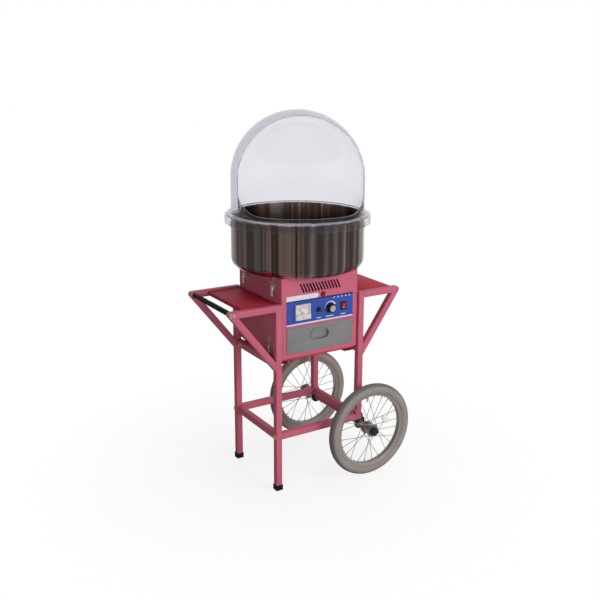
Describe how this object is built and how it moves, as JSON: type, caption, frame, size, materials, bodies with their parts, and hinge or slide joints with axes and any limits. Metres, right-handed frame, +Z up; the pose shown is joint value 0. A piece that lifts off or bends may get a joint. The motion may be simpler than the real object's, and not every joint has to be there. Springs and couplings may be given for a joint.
{
  "type": "cotton candy cart",
  "caption": "Push cart with two spoked wheels carrying a candy floss machine: panel, drawer, spinning head in a steel bowl and a clear dome with a hand opening.",
  "frame": {"origin": "on the floor under the axis of the bowl", "axes": "+X from the handle to the wheels, +Y from the front to the back, +Z up"},
  "size_m": [0.7819, 0.568, 1.4523],
  "materials": {
    "pink_paint": "satin enamel",
    "shelf_paint": "satin enamel",
    "black_paint": "satin",
    "bright_steel": "bright zinc or nickel plate",
    "rim_aluminium": "satin",
    "grip_rubber": "matte",
    "tyre_rubber": "matte, ribbed",
    "reflector_plastic": "faceted",
    "panel_blue": "printed",
    "meter_white": "smooth",
    "meter_clear": "clear plastic",
    "needle_paint": "matte",
    "black_plastic": "moulded",
    "red_plastic": "moulded",
    "motor_steel": "grey enamel",
    "bowl_steel": "spun stainless",
    "drawer_steel": "brushed stainless",
    "head_aluminium": "turned",
    "ring_brass": "turned",
    "clear_plastic": "clear moulded plastic"
  },
  "bodies": {
    "cart": {"left_legs": "pink_paint", "right_legs": "pink_paint", "lower_rails": "pink_paint", "machine_rails": "pink_paint", "shelf_arms": "pink_paint", "shelf_braces": "pink_paint", "shelf_plates": "shelf_paint", "handle_bar": "bright_steel", "handle_grip": "grip_rubber", "fasteners": "bright_steel", "leg_feet": "grip_rubber", "axle_brackets": "black_paint", "axle_tube": "pink_paint", "axle_rod": "bright_steel", "wheel_bearings": "bright_steel", "casing": "pink_paint", "base_pan": "shelf_paint", "machine_feet": "grip_rubber", "control_panel": "panel_blue", "meter_case": "meter_white", "meter_window": "meter_clear", "fuse_holder": "black_plastic", "switch_bezel": "black_plastic", "pilot_lamp": "red_plastic", "drawer_runners": "bright_steel", "motor": "motor_steel", "motor_bracket": "motor_steel", "brush_block": "black_plastic", "heat_controller": "black_plastic", "cable_gland": "black_plastic", "bowl": "bowl_steel", "latch_hardware": "bright_steel"},
    "spinner": {"spinner_head": "head_aluminium", "heater_ring": "head_aluminium", "head_cap": "head_aluminium", "spinner_shaft": "bright_steel", "slip_rings": "ring_brass"},
    "drawer": {"drawer_front": "drawer_steel", "drawer_tray": "drawer_steel", "drawer_pull": "drawer_steel"},
    "dome": {"dome": "clear_plastic"},
    "heat_knob": {"heat_knob": "black_plastic"},
    "power_rocker": {"power_rocker": "red_plastic"},
    "meter_needle": {"meter_needle": "needle_paint"},
    "fuse_cap": {"fuse_cap": "black_plastic"},
    "front_wheel": {"front_tyre": "tyre_rubber", "front_rim": "rim_aluminium", "front_hub": "black_paint", "spoke_reflector": "reflector_plastic"},
    "back_wheel": {"back_tyre": "tyre_rubber", "back_rim": "rim_aluminium", "back_hub": "black_paint"},
    "lever_front_left": {"lever_front_left": "bright_steel"},
    "loop_front_left": {"loop_front_left": "bright_steel"},
    "lever_back_left": {"lever_back_left": "bright_steel"},
    "loop_back_left": {"loop_back_left": "bright_steel"},
    "lever_front_right": {"lever_front_right": "bright_steel"},
    "loop_front_right": {"loop_front_right": "bright_steel"},
    "lever_back_right": {"lever_back_right": "bright_steel"},
    "loop_back_right": {"loop_back_right": "bright_steel"}
  },
  "joints": [
    {"name": "front_wheel_spin", "type": "hinge", "parent": "cart", "child": "front_wheel", "pos_m": [0.1985, -0.238, 0.1925], "axis": [0, 1, 0], "continuous": true},
    {"name": "back_wheel_spin", "type": "hinge", "parent": "cart", "child": "back_wheel", "pos_m": [0.1985, 0.238, 0.1925], "axis": [0, 1, 0], "continuous": true},
    {"name": "spinner_spin", "type": "hinge", "parent": "cart", "child": "spinner", "pos_m": [0, 0, 0.85], "axis": [0, 0, 1], "continuous": true},
    {"name": "drawer_slide", "type": "slide", "parent": "cart", "child": "drawer", "axis": [0, -1, 0], "range_m": [0, 0.2]},
    {"name": "dome_lift", "type": "slide", "parent": "cart", "child": "dome", "axis": [0, 0, 1], "range_m": [0, 0.3]},
    {"name": "heat_knob_turn", "type": "hinge", "parent": "cart", "child": "heat_knob", "pos_m": [0.044, -0.1695, 0.711], "axis": [0, 1, 0], "range_deg": [0, 300]},
    {"name": "power_rocker_tilt", "type": "hinge", "parent": "cart", "child": "power_rocker", "pos_m": [0.105, -0.1665, 0.711], "axis": [-1, 0, 0], "range_deg": [0, 20]},
    {"name": "meter_needle_swing", "type": "hinge", "parent": "cart", "child": "meter_needle", "pos_m": [-0.083, -0.1735, 0.70856], "axis": [0, 1, 0], "range_deg": [0, 90]},
    {"name": "fuse_cap_turn", "type": "hinge", "parent": "cart", "child": "fuse_cap", "pos_m": [-0.008, -0.1695, 0.711], "axis": [0, -1, 0], "range_deg": [0, 90]},
    {"name": "lever_front_left_open", "type": "hinge", "parent": "cart", "child": "lever_front_left", "pos_m": [-0.1795, -0.115, 0.812], "axis": [0, 1, 0], "range_deg": [0, 130]},
    {"name": "loop_front_left_follow", "type": "hinge", "parent": "lever_front_left", "child": "loop_front_left", "pos_m": [-0.1795, -0.115, 0.803], "axis": [0, 1, 0], "range_deg": [-130, 0]},
    {"name": "lever_back_left_open", "type": "hinge", "parent": "cart", "child": "lever_back_left", "pos_m": [-0.1795, 0.115, 0.812], "axis": [0, 1, 0], "range_deg": [0, 130]},
    {"name": "loop_back_left_follow", "type": "hinge", "parent": "lever_back_left", "child": "loop_back_left", "pos_m": [-0.1795, 0.115, 0.803], "axis": [0, 1, 0], "range_deg": [-130, 0]},
    {"name": "lever_front_right_open", "type": "hinge", "parent": "cart", "child": "lever_front_right", "pos_m": [0.1795, -0.115, 0.812], "axis": [0, -1, 0], "range_deg": [0, 130]},
    {"name": "loop_front_right_follow", "type": "hinge", "parent": "lever_front_right", "child": "loop_front_right", "pos_m": [0.1795, -0.115, 0.803], "axis": [0, -1, 0], "range_deg": [-130, 0]},
    {"name": "lever_back_right_open", "type": "hinge", "parent": "cart", "child": "lever_back_right", "pos_m": [0.1795, 0.115, 0.812], "axis": [0, -1, 0], "range_deg": [0, 130]},
    {"name": "loop_back_right_follow", "type": "hinge", "parent": "lever_back_right", "child": "loop_back_right", "pos_m": [0.1795, 0.115, 0.803], "axis": [0, -1, 0], "range_deg": [-130, 0]}
  ],
  "couplings": [
    {"joint": "loop_front_left_follow", "follows": "lever_front_left_open", "ratio": -1},
    {"joint": "loop_back_left_follow", "follows": "lever_back_left_open", "ratio": -1},
    {"joint": "loop_front_right_follow", "follows": "lever_front_right_open", "ratio": -1},
    {"joint": "loop_back_right_follow", "follows": "lever_back_right_open", "ratio": -1}
  ]
}
